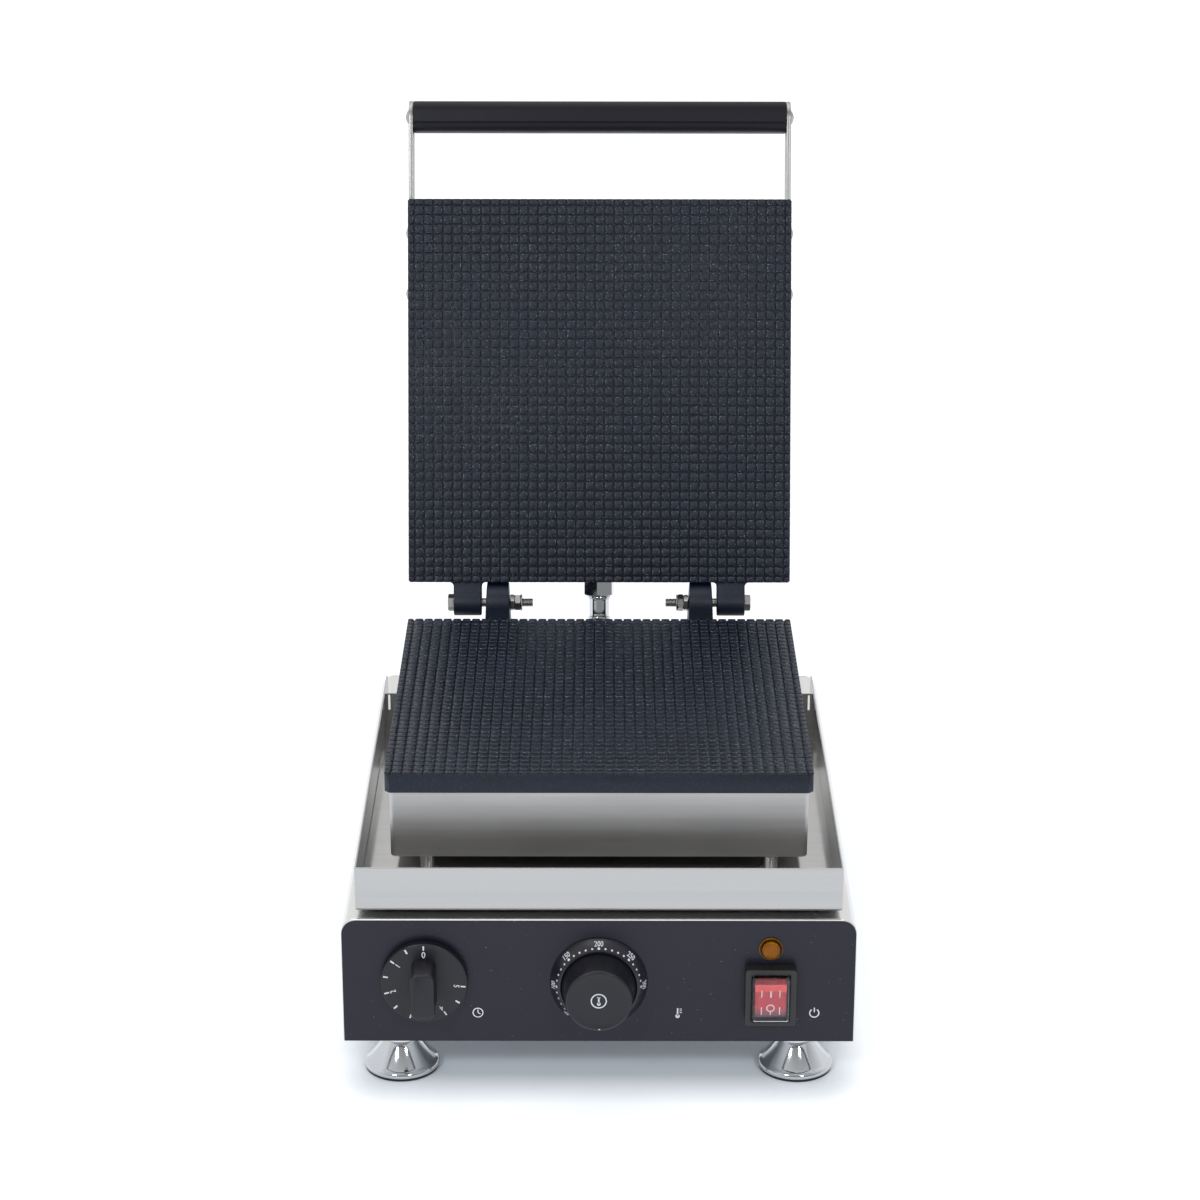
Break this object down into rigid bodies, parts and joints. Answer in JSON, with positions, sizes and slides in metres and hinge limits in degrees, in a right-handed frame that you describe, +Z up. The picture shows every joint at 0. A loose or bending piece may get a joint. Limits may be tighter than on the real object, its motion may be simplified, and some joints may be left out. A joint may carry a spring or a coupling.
{
  "type": "stroopwafel iron",
  "caption": "Countertop iron for thin waffles: square grooved plates, the upper on a hinged lid, over a drip tray and a box housing with knobs and a switch.",
  "frame": {"origin": "middle of the object's bounding box with the lid open, on the surface that the feet stand on", "axes": "+X to the right as seen from the controls, +Y to the rear, +Z up"},
  "size_m": [0.3152, 0.4738, 0.524],
  "materials": {
    "stainless": "fine brushed, satin",
    "panel_black": "satin dark blue-grey coating",
    "chrome": "polished",
    "pad_rubber": "matt",
    "baking_iron": "dark non-stick coating, fine speckle",
    "zinc": "turned, semi-bright",
    "heater_tube": "heat-darkened",
    "mineral_wool": "matt fibre",
    "handle_black": "satin bakelite",
    "conduit_steel": "braided",
    "bush_black": "matt",
    "knob_black": "satin",
    "dial_black": "satin",
    "mechanism": "matt",
    "copper_bulb": "drawn copper",
    "amber_lens": "moulded, amber",
    "switch_black": "semi-gloss",
    "rocker_red": "moulded, red",
    "hood_clear": "clear soft plastic"
  },
  "bodies": {
    "base": {"base_plate": "stainless", "cable_duct": "stainless", "conduit": "conduit_steel", "conduit_bush": "bush_black", "drip_tray": "stainless", "foot_front_left": "chrome", "foot_front_right": "chrome", "foot_nuts": "zinc", "foot_pads": "pad_rubber", "foot_rear_left": "chrome", "foot_rear_right": "chrome", "front_panel": "panel_black", "hinge_bolt_left": "zinc", "hinge_bolt_right": "zinc", "hinge_nuts": "zinc", "housing_cover": "stainless", "housing_screws": "zinc", "lamp_body": "mechanism", "lamp_lens": "amber_lens", "leg_nuts": "zinc", "lower_casing": "stainless", "lower_clamp": "stainless", "lower_clamp_screws": "zinc", "lower_heater": "heater_tube", "lower_insulation": "mineral_wool", "lower_plate": "baking_iron", "mains_gland": "bush_black", "rear_panel": "stainless", "support_legs": "stainless", "switch_frame": "switch_black", "switch_hood": "hood_clear", "terminal_block": "mechanism", "thermostat_body": "mechanism", "thermostat_bulb": "copper_bulb", "thermostat_dial_ring": "dial_black", "timer_body": "mechanism", "tray_buffers": "pad_rubber"},
    "lid": {"upper_plate": "baking_iron", "upper_casing": "stainless", "upper_casing_screws": "zinc", "upper_heater": "heater_tube", "upper_clamp": "stainless", "upper_clamp_screws": "zinc", "upper_insulation": "mineral_wool", "lid_gland": "chrome", "handle_arm_left": "stainless", "handle_arm_right": "stainless", "handle_bar": "handle_black", "arm_screws": "zinc", "handle_screws": "zinc"},
    "timer": {"timer_knob": "knob_black", "timer_shaft": "zinc"},
    "thermostat": {"thermostat_knob": "knob_black", "thermostat_spindle": "zinc"},
    "rocker": {"switch_rocker": "rocker_red"}
  },
  "joints": [
    {"name": "lid_hinge", "type": "hinge", "parent": "base", "child": "lid", "pos_m": [0, 0.10167, 0.2026], "axis": [1, 0, 0], "range_deg": [0, 107.1], "deforming": ["conduit"]},
    {"name": "timer_turn", "type": "hinge", "parent": "base", "child": "timer", "pos_m": [-0.1056, -0.21093, 0.077], "axis": [0, 1, 0], "range_deg": [0, 265]},
    {"name": "thermostat_turn", "type": "hinge", "parent": "base", "child": "thermostat", "pos_m": [0, -0.21093, 0.075], "axis": [0, 1, 0], "range_deg": [0, 266]},
    {"name": "rocker_tilt", "type": "hinge", "parent": "base", "child": "rocker", "pos_m": [0.104, -0.21293, 0.0682], "axis": [-1, 0, 0], "range_deg": [0, 20]}
  ]
}
